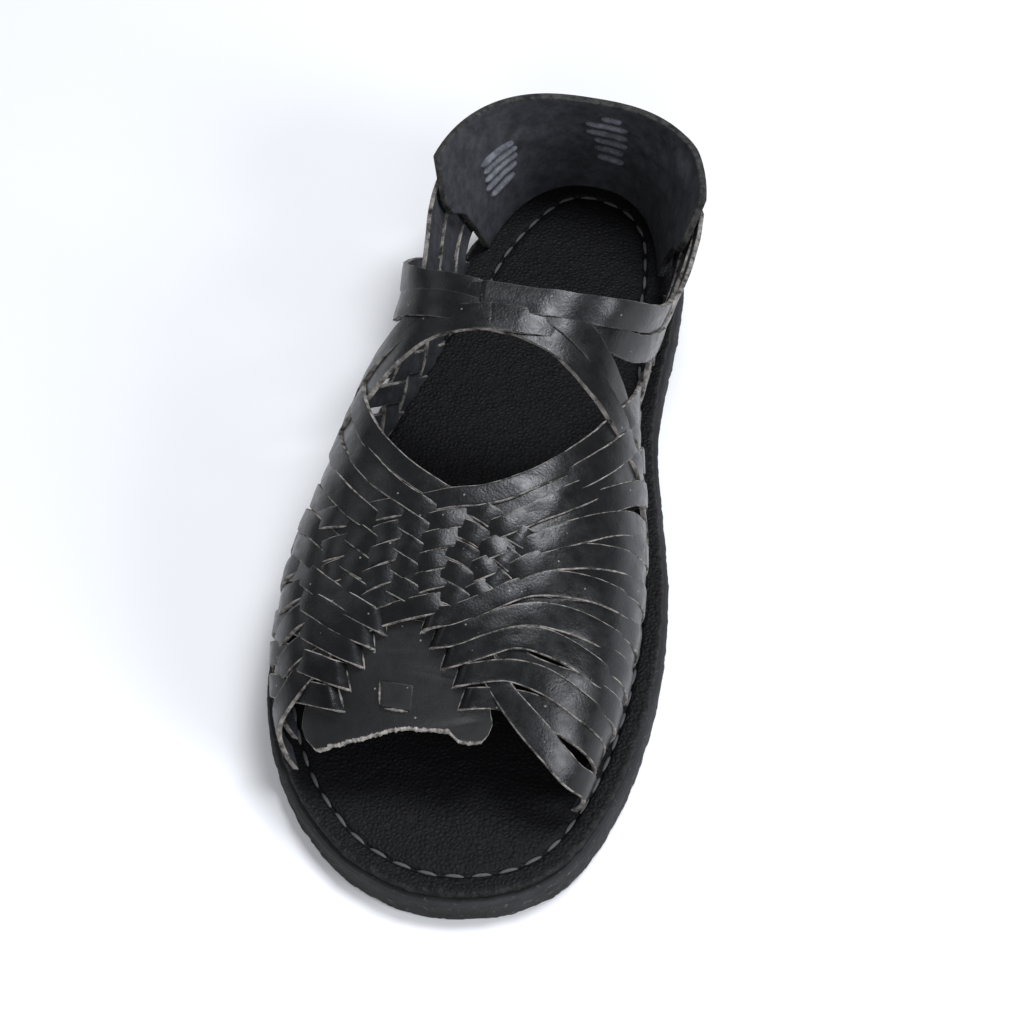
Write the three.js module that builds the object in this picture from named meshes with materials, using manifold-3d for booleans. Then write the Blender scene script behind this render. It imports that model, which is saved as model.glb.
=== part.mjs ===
// A woven leather huarache sandal for the right foot: a flat rubber outsole, a leather insole,
// an upper of flat leather strips woven over and under, a smooth plate over the toes that holds
// the ends of the front strips, and a leather counter around the heel.
// Millimetres. The toe points along -Y, the inner side of the foot is +X, and +Z is up.
// The origin is on the ground under the middle of the sole.

import * as THREE from 'three';
import { mergeVertices } from 'three/addons/utils/BufferGeometryUtils.js';
import Module from 'manifold-3d';

const wasm = await Module();
wasm.setup();

// Sole
const soleLength = 268;
const ballWidth = 110.4;
const outsoleThickness = 9;
const insoleThickness = 2.4;
const insoleInset = 1.8;
const seam = 0.3;

// Tread: wavy grooves worn into the rubber
const grooveWidth = 2.4;
const grooveDepth = 1.6;
const waveLength = 54;
const waveHeight = 6;
const grooveTaper = 0.6;
const grooveStep = 9;

// Last
const instepHeight = 63;
const medialInset = 9;
const lateralInset = 4.5;
const tuckAngle = THREE.MathUtils.degToRad(25.8);
const sectionPower = 0.8;
const heelLength = 57;
const heelHalfWidth = 31;
const heelFlare = 10;
const heelBackInset = 6;
const heelLean = 7.5;
const heelShift = -0.5;
const heelHeight = 45;
const heelHeightShare = 1.3;
const heelRisePower = 1.5;
const heelPlanPower = 2.3;
const heelPlanPowerGain = 0.3;
const heelBlendShare = { start: 0.52, end: 0.765 };

// Leather
const vampStripWidth = 5.8;
const sideStripWidth = 6.6;
const bandStripWidth = 8.2;
const stripThickness = 1.4;
const weaveLift = 0.5;
const stripStep = 13;
const plateThickness = 2;
const plateGap = 0.7;
const plateStepHeight = 0.8;
const counterThickness = 2.2;
const counterBackHeight = 46;
const counterWingHeight = 49;

const insoleTop = outsoleThickness + seam + insoleThickness;
const stripFloor = insoleTop + seam;

// Outline of the sole: place along it from the toe, and reach to each side, as shares
const outline = [
  { along: 0, medial: 0.05, lateral: -0.05 },
  { along: 0.019, medial: 0.252, lateral: 0.135 },
  { along: 0.056, medial: 0.367, lateral: 0.26 },
  { along: 0.11, medial: 0.435, lateral: 0.371 },
  { along: 0.19, medial: 0.483, lateral: 0.463 },
  { along: 0.3, medial: 0.5, lateral: 0.5 },
  { along: 0.41, medial: 0.473, lateral: 0.481 },
  { along: 0.52, medial: 0.407, lateral: 0.449 },
  { along: 0.6, medial: 0.358, lateral: 0.415 },
  { along: 0.68, medial: 0.337, lateral: 0.381 },
  { along: 0.78, medial: 0.332, lateral: 0.341 },
  { along: 0.86, medial: 0.316, lateral: 0.304 },
  { along: 0.93, medial: 0.27, lateral: 0.234 },
  { along: 0.98, medial: 0.163, lateral: 0.145 },
  { along: 1, medial: -0.01, lateral: 0.01 },
];

// Height of the last over the insole, as a share of the instep height
const crest = [
  { along: 0.1, height: 0.33 },
  { along: 0.125, height: 0.39 },
  { along: 0.17, height: 0.5 },
  { along: 0.225, height: 0.62 },
  { along: 0.3, height: 0.73 },
  { along: 0.375, height: 0.82 },
  { along: 0.45, height: 0.87 },
  { along: 0.525, height: 0.94 },
  { along: 0.6, height: 1 },
  { along: 0.7, height: 1.11 },
  { along: 0.8, height: 1.2 },
  { along: 0.95, height: 1.2 },
];

// Reads a column of a table at a place along it
function lookUp(table, key, column, value) {
  let i = 0;
  while (i < table.length - 2 && table[i + 1][key] < value) i += 1;
  const low = table[i];
  const high = table[i + 1];
  const t = THREE.MathUtils.clamp((value - low[key]) / (high[key] - low[key]), 0, 1);
  return low[column] + (high[column] - low[column]) * t;
}

// The outline as one closed curve, sampled to points in plan
function solePoints(count, inset) {
  const medial = outline.map((row) => [ballWidth * row.medial, row.along]);
  const lateral = outline.slice(1, -1).map((row) => [-ballWidth * row.lateral, row.along]);
  const knots = [...medial, ...lateral.reverse()];
  const curve = new THREE.CatmullRomCurve3(
    knots.map(([x, along]) => new THREE.Vector3(x, (along - 0.5) * soleLength, 0)),
    true,
    'centripetal',
  );
  const points = curve.getSpacedPoints(count);
  points.pop();
  return points.map((point, i) => {
    const before = points[(i + points.length - 1) % points.length];
    const after = points[(i + 1) % points.length];
    const inward = new THREE.Vector2(before.y - after.y, after.x - before.x).normalize();
    return new THREE.Vector2(point.x + inward.x * inset, point.y + inward.y * inset);
  });
}

const slabSides = 100;
const rimSides = 240;
const rim = solePoints(rimSides, 0);

// Half width of the sole at a share of its length, on the inner side (1) or the outer side (-1)
function rimAt(side, along) {
  const y = (along - 0.5) * soleLength;
  let best = 0;
  for (let i = 0; i < rim.length; i += 1) {
    const a = rim[i];
    const b = rim[(i + 1) % rim.length];
    if ((a.y - y) * (b.y - y) <= 0 && a.y !== b.y) {
      const x = a.x + ((b.x - a.x) * (y - a.y)) / (b.y - a.y);
      if (x * side > best * side) best = x;
    }
  }
  return best;
}

// Plan of the heel at a height: how far out the last is, at a distance from the toe
function heelShape(z) {
  const k = THREE.MathUtils.clamp((z - insoleTop) / heelHeight, 0, heelHeightShare) ** heelRisePower;
  const back = soleLength - heelBackInset - heelLean * k;
  return {
    front: soleLength - heelBackInset - heelLength,
    back,
    half: heelHalfWidth + heelFlare * k,
    power: heelPlanPower + heelPlanPowerGain * k,
  };
}

// A point of the last: along is its share of the length from the toe, and across runs over the
// foot from the outer side of the insole (-1) to the inner side (1)
function lastPoint(along, across) {
  const angle = Math.PI / 2 - across * (Math.PI / 2 + tuckAngle);
  const low = Math.sin(-tuckAngle);
  const height = instepHeight * lookUp(crest, 'along', 'height', along);
  const z = insoleTop + (height * (Math.sin(angle) - low)) / (1 - low);
  const inner = rimAt(1, along) - medialInset;
  const outer = rimAt(-1, along) + lateralInset;
  const turn = Math.cos(angle);
  const reach = Math.sign(turn) * Math.abs(turn) ** sectionPower;
  const foreX = (inner + outer) / 2 + ((inner - outer) / 2) * reach;
  const heel = heelShape(z);
  const u = along * soleLength;
  const t = THREE.MathUtils.clamp((u - heel.front) / (heel.back - heel.front), 0, 1);
  const side = across >= 0 ? 1 : -1;
  const heelX = heelShift + side * heel.half * (1 - t ** heel.power) ** (1 / heel.power);
  const blend = THREE.MathUtils.smoothstep(along, heelBlendShare.start, heelBlendShare.end);
  const x = THREE.MathUtils.lerp(foreX, heelX, blend);
  return new THREE.Vector3(x, (along - 0.5) * soleLength, z);
}

// The direction straight out of the last at a point
function lastNormal(along, across) {
  const da = 0.004;
  const dq = 0.012;
  const alongStep = lastPoint(along + da, across).sub(lastPoint(along - da, across));
  const acrossStep = lastPoint(along, across + dq).sub(lastPoint(along, across - dq));
  return acrossStep.cross(alongStep).normalize();
}

// A fine box whose every corner is carried by a function to its place on the shoe. The function
// takes shares from 0 to 1 across, through and along the box.
function bentBox(parts, place) {
  const box = new THREE.BoxGeometry(1, 1, 1, parts[0], parts[1], parts[2]);
  box.deleteAttribute('normal');
  box.deleteAttribute('uv');
  const geometry = mergeVertices(box);
  const position = geometry.attributes.position;
  for (let i = 0; i < position.count; i += 1) {
    const point = place(position.getX(i) + 0.5, position.getY(i) + 0.5, position.getZ(i) + 0.5);
    position.setXYZ(i, point.x, point.y, point.z);
  }
  return geometry;
}

// Turns a geometry into a solid, with its faces outwards
function solid(geometry) {
  const plain = geometry.clone();
  plain.deleteAttribute('normal');
  plain.deleteAttribute('uv');
  const merged = mergeVertices(plain, 1e-4);
  const vertProperties = new Float32Array(merged.attributes.position.array);
  const triVerts = new Uint32Array(merged.index.array);
  let volume = 0;
  const [a, b, c] = [new THREE.Vector3(), new THREE.Vector3(), new THREE.Vector3()];
  for (let i = 0; i < triVerts.length; i += 3) {
    a.fromArray(vertProperties, triVerts[i] * 3);
    b.fromArray(vertProperties, triVerts[i + 1] * 3);
    c.fromArray(vertProperties, triVerts[i + 2] * 3);
    volume += a.dot(b.cross(c));
  }
  if (volume < 0) {
    for (let i = 0; i < triVerts.length; i += 3) {
      [triVerts[i + 1], triVerts[i + 2]] = [triVerts[i + 2], triVerts[i + 1]];
    }
  }
  return new wasm.Manifold(new wasm.Mesh({ numProp: 3, vertProperties, triVerts }));
}

function joined(solids) {
  return solids.reduce((whole, next) => whole.add(next));
}

function geometryOf(shape) {
  const mesh = shape.getMesh();
  const geometry = new THREE.BufferGeometry();
  geometry.setAttribute('position', new THREE.BufferAttribute(mesh.vertProperties, 3));
  geometry.setIndex(new THREE.BufferAttribute(mesh.triVerts, 1));
  geometry.computeVertexNormals();
  return geometry;
}

function piece(name, shape, color, roughness) {
  const material = new THREE.MeshStandardMaterial({ color, roughness, metalness: 0 });
  const mesh = new THREE.Mesh(geometryOf(shape), material);
  mesh.name = name;
  return mesh;
}

// Outsole and insole: flat slabs of the outline
function slab(inset, bottom, thickness, count) {
  const shape = new THREE.Shape(solePoints(count, inset));
  const geometry = new THREE.ExtrudeGeometry(shape, { depth: thickness, bevelEnabled: false });
  geometry.translate(0, 0, bottom);
  return solid(geometry);
}

// Rows of the tread: side is a share of the ball width, start and end shares of the length
const grooves = [
  { side: -0.33, start: 0.16, end: 0.5, phase: 0.2 },
  { side: -0.15, start: 0.09, end: 0.93, phase: 0 },
  { side: 0.03, start: 0.07, end: 0.95, phase: 0.1 },
  { side: 0.2, start: 0.12, end: 0.9, phase: 0.05 },
  { side: 0.36, start: 0.16, end: 0.4, phase: 0 },
];

function groove(row) {
  const length = (row.end - row.start) * soleLength;
  return solid(
    bentBox([1, 1, Math.round(length / grooveStep)], (across, through, along) => {
      const y = (row.start - 0.5) * soleLength + along * length;
      const wave = Math.sin(2 * Math.PI * (y / waveLength + row.phase));
      const half = (grooveWidth / 2) * (1 + grooveTaper * (0.5 - through));
      const x = row.side * ballWidth + waveHeight * wave + (across * 2 - 1) * half;
      return new THREE.Vector3(x, y, through * 2 * grooveDepth - grooveDepth);
    }),
  );
}

const outsole = grooves.reduce(
  (sole, row) => sole.subtract(groove(row)),
  slab(0, 0, outsoleThickness, slabSides),
);
const insole = slab(insoleInset, outsoleThickness + seam, insoleThickness, slabSides);

// Long strips that run over the foot, each as its places along the sole: the outer column lists
// them at the outer foot, half way down that side and near the middle, the crown is at the middle,
// and the inner column lists them near the middle, half way down and at the inner foot. All are
// shares of the length from the toe. The strips of the R set lean forward towards the inner side
// and those of the L set backward, so the two sets cross. The order numbers neighbours, and a strip
// of the R set goes over where the two orders add up to an even number. A front strip has a tip,
// the place across the foot where it ends on the toe plate, and near it the strip lies over all.
const reachShare = 1.06;
const nearShare = { outer: 0.25, inner: 0.18 };
const sideShare = 0.5;
const pastFootShare = 1.12;
const overShare = { outer: 0.42, inner: 0.17 };
const lastOuterTip = 4;
const lastVampOrder = { R: 11, L: 10 };
const widenShare = 0.2;
const longStrips = [
  { set: 'R', order: 0, outer: [0.205, 0.161, 0.148], crown: 0.135, tip: -0.265 },
  { set: 'R', order: 1, outer: [0.24, 0.192, 0.169], crown: 0.15, tip: -0.23 },
  { set: 'R', order: 2, outer: [0.27, 0.224, 0.191], crown: 0.165, tip: -0.185 },
  { set: 'R', order: 3, outer: [0.3, 0.25, 0.21], crown: 0.18, tip: -0.155 },
  { set: 'R', order: 4, outer: [0.335, 0.276, 0.227], crown: 0.195, tip: -0.12 },
  { set: 'R', order: 5, outer: [0.375, 0.303, 0.25], crown: 0.215, tip: -0.09 },
  { set: 'R', order: 6, outer: [0.415, 0.33, 0.276], crown: 0.235, inner: [0.176, 0.138, 0.118] },
  { set: 'R', order: 7, outer: [0.455, 0.357, 0.302], crown: 0.254, inner: [0.21, 0.211, 0.222] },
  { set: 'R', order: 8, outer: [0.51, 0.385, 0.325], crown: 0.275, inner: [0.236, 0.248, 0.266] },
  { set: 'R', order: 9, outer: [0.57, 0.414, 0.347], crown: 0.297, inner: [0.264, 0.288, 0.315] },
  { set: 'R', order: 10, outer: [0.625, 0.447, 0.37], crown: 0.32, inner: [0.292, 0.33, 0.37] },
  { set: 'R', order: 11, outer: [0.675, 0.483, 0.396], crown: 0.345, inner: [0.322, 0.374, 0.43] },
  { set: 'L', order: 0, crown: 0.16, inner: [0.167, 0.168, 0.172], tip: 0.05 },
  { set: 'L', order: 1, crown: 0.178, inner: [0.204, 0.189, 0.195], tip: 0.03 },
  { set: 'L', order: 2, crown: 0.195, inner: [0.229, 0.23, 0.24], tip: 0.01 },
  { set: 'L', order: 3, crown: 0.214, inner: [0.252, 0.267, 0.288], tip: -0.015 },
  { set: 'L', order: 4, crown: 0.232, inner: [0.281, 0.309, 0.34], tip: -0.035 },
  { set: 'L', order: 5, outer: [0.128, 0.16, 0.204], crown: 0.252, inner: [0.304, 0.351, 0.395] },
  { set: 'L', order: 6, outer: [0.163, 0.191, 0.223], crown: 0.272, inner: [0.324, 0.394, 0.46] },
  { set: 'L', order: 7, outer: [0.202, 0.224, 0.249], crown: 0.291, inner: [0.342, 0.428, 0.525] },
  { set: 'L', order: 8, outer: [0.25, 0.256, 0.273], crown: 0.311, inner: [0.361, 0.457, 0.585] },
  { set: 'L', order: 9, outer: [0.3, 0.291, 0.296], crown: 0.331, inner: [0.38, 0.486, 0.64] },
  { set: 'L', order: 10, outer: [0.352, 0.332, 0.326], crown: 0.353, inner: [0.402, 0.516, 0.69] },
  { set: 'R', order: 12, outer: [0.76, 0.605, 0.574], crown: 0.556, inner: [0.543, 0.49, 0.43] },
  { set: 'R', order: 13, outer: [0.8, 0.645, 0.598], crown: 0.58, inner: [0.567, 0.53, 0.46] },
  { set: 'L', order: 11, outer: [0.43, 0.49, 0.538], crown: 0.556, inner: [0.569, 0.605, 0.76] },
  { set: 'L', order: 12, outer: [0.46, 0.53, 0.562], crown: 0.58, inner: [0.593, 0.645, 0.8] },
];

// Short strips of the quarters, the same on both sides: each rises from the insole at its foot
// and runs back to a slit in the counter, at a place along and across the last
const quarterStrips = [
  { foot: 0.555, slit: 0.835, height: 0.66 },
  { foot: 0.6, slit: 0.845, height: 0.705 },
  { foot: 0.645, slit: 0.852, height: 0.757 },
  { foot: 0.69, slit: 0.858, height: 0.81 },
  { foot: 0.735, slit: 0.865, height: 0.87 },
];
const quarterSettle = 3;
const pathParts = 160;
const quarterOrder = { R: 14, L: 13 };

// The way of a long strip, as a smooth line of along and across
function longPath(row) {
  const middle = (1 + sideShare) / 2;
  const pastFoot = (pastFootShare - sideShare) / (1 - sideShare);
  const knots = [[row.crown, 0]];
  if (row.outer) {
    const [foot, side, near] = row.outer;
    knots.unshift([near, -nearShare.outer]);
    knots.unshift([side, -sideShare]);
    knots.unshift([(side + foot) / 2, -middle]);
    knots.unshift([foot, -1]);
    knots.unshift([THREE.MathUtils.lerp(side, foot, pastFoot), -pastFootShare]);
  }
  if (row.inner) {
    const [near, side, foot] = row.inner;
    knots.push([near, nearShare.inner]);
    knots.push([side, sideShare]);
    knots.push([(side + foot) / 2, middle]);
    knots.push([foot, 1]);
    knots.push([THREE.MathUtils.lerp(side, foot, pastFoot), pastFootShare]);
  }
  const curve = new THREE.CatmullRomCurve3(
    knots.map(([along, across]) => new THREE.Vector3(along, across, 0)),
  );
  const from = row.outer ? -reachShare : row.tip;
  const to = row.inner ? reachShare : row.tip;
  return curve.getPoints(pathParts).filter((point) => point.y >= from && point.y <= to);
}

function quarterPath(row, side) {
  const points = [];
  for (let i = -pathParts / 10; i <= pathParts; i += 1) {
    const share = i / pathParts;
    const across = row.height + (1 - row.height) * (1 - share) ** quarterSettle;
    points.push(new THREE.Vector3(row.foot + (row.slit - row.foot) * share, side * across, 0));
  }
  return points.filter((point) => Math.abs(point.y) <= reachShare);
}

// Every strip with its way over the last in even steps
function evenSteps(path, step) {
  const places = path.map((point) => lastPoint(point.x, point.y));
  const lengths = [0];
  for (let i = 1; i < places.length; i += 1) {
    lengths.push(lengths[i - 1] + places[i].distanceTo(places[i - 1]));
  }
  const total = lengths[lengths.length - 1];
  const count = Math.max(2, Math.round(total / step));
  const result = [];
  let j = 0;
  for (let i = 0; i <= count; i += 1) {
    const want = (total * i) / count;
    while (j < lengths.length - 2 && lengths[j + 1] < want) j += 1;
    const t = (want - lengths[j]) / (lengths[j + 1] - lengths[j]);
    result.push(path[j].clone().lerp(path[j + 1], t));
  }
  return result;
}

const strips = [
  ...longStrips.map((row) => ({ ...row, path: longPath(row) })),
  ...quarterStrips.map((row, i) => ({ set: 'R', order: quarterOrder.R + i, path: quarterPath(row, 1) })),
  ...quarterStrips.map((row, i) => ({ set: 'L', order: quarterOrder.L + i, path: quarterPath(row, -1) })),
];

// Where two paths cross: how far along each, as shares, or nothing
function crossing(first, second) {
  for (let i = 1; i < first.length; i += 1) {
    for (let j = 1; j < second.length; j += 1) {
      const [p, p2, q, q2] = [first[i - 1], first[i], second[j - 1], second[j]];
      const [rx, ry, sx, sy] = [p2.x - p.x, p2.y - p.y, q2.x - q.x, q2.y - q.y];
      const cross = rx * sy - ry * sx;
      const t = ((q.x - p.x) * sy - (q.y - p.y) * sx) / cross;
      const u = ((q.x - p.x) * ry - (q.y - p.y) * rx) / cross;
      if (cross !== 0 && t >= 0 && t < 1 && u >= 0 && u < 1) {
        return [(i - 1 + t) / (first.length - 1), (j - 1 + u) / (second.length - 1)];
      }
    }
  }
  return null;
}

for (const strip of strips) {
  strip.steps = evenSteps(strip.path, stripStep);
  strip.levels = [];
}
for (const r of strips.filter((strip) => strip.set === 'R')) {
  for (const l of strips.filter((strip) => strip.set === 'L')) {
    const meeting = crossing(r.steps, l.steps);
    if (meeting) {
      const across = r.steps[Math.round(meeting[0] * (r.steps.length - 1))].y;
      const outerTip = r.tip !== undefined && r.order <= lastOuterTip && across > -overShare.outer;
      const innerTip = l.tip !== undefined && across < overShare.inner;
      const even = (r.order + l.order) % 2 === 0;
      const over = (even || outerTip) && !innerTip ? 1 : -1;
      r.levels.push({ at: meeting[0], level: over });
      l.levels.push({ at: meeting[1], level: -over });
    }
  }
}

// How high a strip lies at a share of its way, from 1 over to -1 under
function levelAt(strip, share) {
  const levels = strip.levels;
  if (share <= levels[0].at) return levels[0].level;
  for (let i = 1; i < levels.length; i += 1) {
    if (share <= levels[i].at) {
      const t = THREE.MathUtils.smoothstep(share, levels[i - 1].at, levels[i].at);
      return THREE.MathUtils.lerp(levels[i - 1].level, levels[i].level, t);
    }
  }
  return levels[levels.length - 1].level;
}

// A strip's ends: over on the toe plate and in the slits, and its own set's level at the insole
for (const strip of strips) {
  const ends = [strip.steps[0], strip.steps[strip.steps.length - 1]];
  ends.forEach((end, i) => {
    const inner = end.y > 1;
    const loose = Math.abs(end.y) < 1;
    if (inner) strip.levels.push({ at: i, level: strip.set === 'R' ? 1 : -1 });
    if (loose) strip.levels.push({ at: i, level: 1 });
  });
  strip.levels.sort((a, b) => a.at - b.at);
}

function stripSolid(strip) {
  const steps = strip.steps;
  const count = steps.length - 1;
  return solid(
    bentBox([1, 1, count], (across, through, along) => {
      const i = Math.round(along * count);
      const here = steps[i];
      const before = lastPoint(steps[Math.max(i - 1, 0)].x, steps[Math.max(i - 1, 0)].y);
      const after = lastPoint(steps[Math.min(i + 1, count)].x, steps[Math.min(i + 1, count)].y);
      const normal = lastNormal(here.x, here.y);
      const side = normal.clone().cross(after.sub(before)).normalize();
      const lift = stripThickness * through + weaveLift * (1 + levelAt(strip, along));
      const sideways = THREE.MathUtils.smoothstep(Math.abs(here.y), widenShare, sideShare);
      const vampWidth = THREE.MathUtils.lerp(vampStripWidth, sideStripWidth, sideways);
      const width = strip.order > lastVampOrder[strip.set] ? bandStripWidth : vampWidth;
      return lastPoint(here.x, here.y)
        .addScaledVector(side, (across - 0.5) * width)
        .addScaledVector(normal, lift);
    }),
  );
}

function floorBlock() {
  const block = new THREE.BoxGeometry(2 * ballWidth, 2 * soleLength, instepHeight);
  block.translate(0, 0, stripFloor - instepHeight / 2);
  return solid(block);
}

// Small hollows shut in between crossing strips are filled
const woven = joined(strips.map(stripSolid)).subtract(floorBlock());
const upper = joined(woven.decompose().filter((shell) => shell.volume() > 0));

// The toe plate, under the ends of the front strips, with a strip end raised in its middle
const plateFront = [
  { across: -0.53, along: 0.125 },
  { across: -0.42, along: 0.109 },
  { across: -0.25, along: 0.115 },
  { across: -0.15, along: 0.122 },
  { across: -0.07, along: 0.13 },
  { across: 0.03, along: 0.134 },
  { across: 0.1, along: 0.13 },
  { across: 0.155, along: 0.145 },
];
const plateBackShare = 0.226;
const plateSides = { frontOuter: -0.53, frontInner: 0.155, backOuter: -0.2, backInner: 0.05 };
const plateSquare = { along: 0.146, length: 0.022, across: -0.125, width: 0.085 };

function plateGrid(parts, outerLift, thickness, place) {
  return solid(
    bentBox(parts, (across, through, along) => {
      const spot = place(across, along);
      const lift = outerLift - thickness * (1 - through);
      return lastPoint(spot.along, spot.across).addScaledVector(lastNormal(spot.along, spot.across), lift);
    }),
  );
}

const plateBody = plateGrid([12, 1, 5], -plateGap, plateThickness, (across, along) => {
  const outer = THREE.MathUtils.lerp(plateSides.frontOuter, plateSides.backOuter, along);
  const inner = THREE.MathUtils.lerp(plateSides.frontInner, plateSides.backInner, along);
  const frontShare = THREE.MathUtils.lerp(plateSides.frontOuter, plateSides.frontInner, across);
  const front = lookUp(plateFront, 'across', 'along', frontShare);
  return {
    along: THREE.MathUtils.lerp(front, plateBackShare, along),
    across: THREE.MathUtils.lerp(outer, inner, across),
  };
});
const plateStep = plateGrid([3, 1, 3], plateStepHeight - plateGap, plateThickness, (across, along) => ({
  along: plateSquare.along + plateSquare.length * along,
  across: plateSquare.across + plateSquare.width * across,
}));
const plate = plateBody.add(plateStep);

// The heel counter: a wall around the heel. Its front edge leans, with a tab at the top: heights
// are shares of the wing height, and reaches back from the front shares of the heel length.
const counterFront = [
  { height: 0, reach: 0.386 },
  { height: 0.49, reach: 0.228 },
  { height: 0.633, reach: 0.105 },
  { height: 0.735, reach: 0.088 },
  { height: 1, reach: 0.211 },
];

function heelPoint(turn, z) {
  const heel = heelShape(z);
  const s = Math.sin(turn);
  const c = Math.cos(turn);
  const x = heelShift + heel.half * Math.sign(s) * Math.abs(s) ** (2 / heel.power);
  const u = heel.front + (heel.back - heel.front) * Math.abs(c) ** (2 / heel.power);
  return new THREE.Vector3(x, u - soleLength / 2, z);
}

const counter = solid(
  bentBox([24, 1, 4], (across, through, along) => {
    const side = across * 2 - 1;
    const top = THREE.MathUtils.lerp(counterBackHeight, counterWingHeight, side * side);
    const height = along * top;
    const z = stripFloor + height;
    const heel = heelShape(z);
    const heightShare = height / counterWingHeight;
    const setBack = heelLength * lookUp(counterFront, 'height', 'reach', heightShare);
    const reach = setBack / (heel.back - heel.front);
    const widest = Math.acos(reach ** (heel.power / 2));
    const turn = side * widest;
    const step = 0.02;
    const normal = heelPoint(turn + step, z).sub(heelPoint(turn - step, z));
    normal.set(normal.y, -normal.x, 0).normalize().negate();
    const lift = -seam - counterThickness * (1 - through);
    return heelPoint(turn, z).addScaledVector(normal, lift);
  }),
);

const sandal = new THREE.Group();
sandal.add(
  piece('outsole', outsole, 0x3c3c3e, 0.85),
  piece('insole', insole, 0x232326, 0.8),
  piece('upper', upper, 0x1c1d21, 0.45),
  piece('vamp_plate', plate, 0x232428, 0.5),
  piece('heel_counter', counter, 0x202126, 0.5),
);

export default sandal;
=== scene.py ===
import math
import random

import bmesh
import bpy
import numpy as np
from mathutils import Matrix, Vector, noise


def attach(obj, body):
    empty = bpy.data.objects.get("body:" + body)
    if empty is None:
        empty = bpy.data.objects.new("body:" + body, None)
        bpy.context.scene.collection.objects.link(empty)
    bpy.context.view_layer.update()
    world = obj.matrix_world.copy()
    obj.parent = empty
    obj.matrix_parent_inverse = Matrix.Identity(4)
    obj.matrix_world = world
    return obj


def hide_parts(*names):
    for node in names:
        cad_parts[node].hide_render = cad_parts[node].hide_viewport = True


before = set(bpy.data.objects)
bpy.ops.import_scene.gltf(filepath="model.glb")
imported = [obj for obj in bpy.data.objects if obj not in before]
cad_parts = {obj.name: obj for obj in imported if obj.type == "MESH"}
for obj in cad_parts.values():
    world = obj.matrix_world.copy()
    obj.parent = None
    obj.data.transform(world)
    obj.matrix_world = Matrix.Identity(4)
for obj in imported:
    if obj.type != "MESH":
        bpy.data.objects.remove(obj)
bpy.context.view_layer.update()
mm = 0.001


# Studio
# The sandal stands on a pale floor under soft white light from above and behind, as on a
# product table. The camera looks down at the toe from the height and side of the photograph.
def linear(text):
    """An sRGB hex colour as linear red, green, blue and alpha."""
    parts = [int(text[i:i + 2], 16) / 255 for i in (1, 3, 5)]
    return [c / 12.92 if c <= 0.04045 else ((c + 0.055) / 1.055) ** 2.4 for c in parts] + [1.0]


def add_node(tree, kind, settings=None, **links):
    """Adds a node, sets its attributes, and sets or links its inputs by name."""
    node = tree.nodes.new(kind)
    for key, value in (settings or {}).items():
        setattr(node, key, value)
    for key, value in links.items():
        name = key.replace("_", " ")
        socket = node.inputs[int(key[1:])] if key[0] == "i" and key[1:].isdigit() else node.inputs[name]
        if isinstance(value, bpy.types.NodeSocket):
            tree.links.new(value, socket)
        else:
            socket.default_value = value
    return node


def new_material(name):
    """A material with its own tree, its Principled shader and its object coordinates."""
    material = bpy.data.materials.new(name)
    material.use_nodes = True
    tree = material.node_tree
    shader = tree.nodes["Principled BSDF"]
    place = add_node(tree, "ShaderNodeTexCoord").outputs["Object"]
    return material, tree, shader, place


camera_place = Vector((99.4, -443.3, 631.1)) * mm
camera_aim = Vector((2.0, -6.0, 12.0)) * mm
camera = bpy.data.objects.new("camera", bpy.data.cameras.new("camera"))
camera.data.sensor_width = 36
camera.data.lens = 91.7
camera.data.clip_start = 0.02
camera.location = camera_place
camera.rotation_euler = (camera_aim - camera_place).to_track_quat("-Z", "Y").to_euler()
bpy.context.scene.collection.objects.link(camera)
bpy.context.scene.camera = camera

bm = bmesh.new()
bmesh.ops.create_grid(bm, x_segments=1, y_segments=1, size=3.0)
floor = bpy.data.objects.new("floor", bpy.data.meshes.new("floor"))
bm.to_mesh(floor.data)
bm.free()
bpy.context.scene.collection.objects.link(floor)
floor_paper, _, shader, _ = new_material("white_paper")
shader.inputs["Base Color"].default_value = linear("#f4f4f4")
shader.inputs["Roughness"].default_value = 0.9
floor.data.materials.append(floor_paper)

lamps = [
    {"name": "top", "at": (0.25, 0.3, 1.2), "size": 0.45, "power": 12},
    {"name": "left", "at": (-1.1, 0.1, 0.8), "size": 0.6, "power": 1.2},
    {"name": "right", "at": (0.95, -0.35, 0.6), "size": 0.45, "power": 7},
    {"name": "front", "at": (0.1, -1.1, 0.75), "size": 0.6, "power": 6},
]
for row in lamps:
    lamp = bpy.data.objects.new(row["name"], bpy.data.lights.new(row["name"], "AREA"))
    lamp.data.size = row["size"]
    lamp.data.energy = row["power"]
    lamp.data.color = linear("#f5f8ff")[:3]
    lamp.location = row["at"]
    lamp.rotation_euler = (-Vector(row["at"])).to_track_quat("-Z", "Y").to_euler()
    bpy.context.scene.collection.objects.link(lamp)
world = bpy.data.worlds.new("studio")
world.use_nodes = True
world.node_tree.nodes["Background"].inputs["Color"].default_value = linear("#f4f5f7")
world.node_tree.nodes["Background"].inputs["Strength"].default_value = 0.2
bpy.context.scene.world = world
bpy.context.scene.view_settings.view_transform = "Standard"


# Outsole
# A flat slab of charcoal rubber cut by hand to the outline, so its wall is rough and its edges
# are burred. Wavy grooves run along the underside, ragged where the rubber has torn.
sole_length = 268 * mm
ball_width = 110.4 * mm

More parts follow.
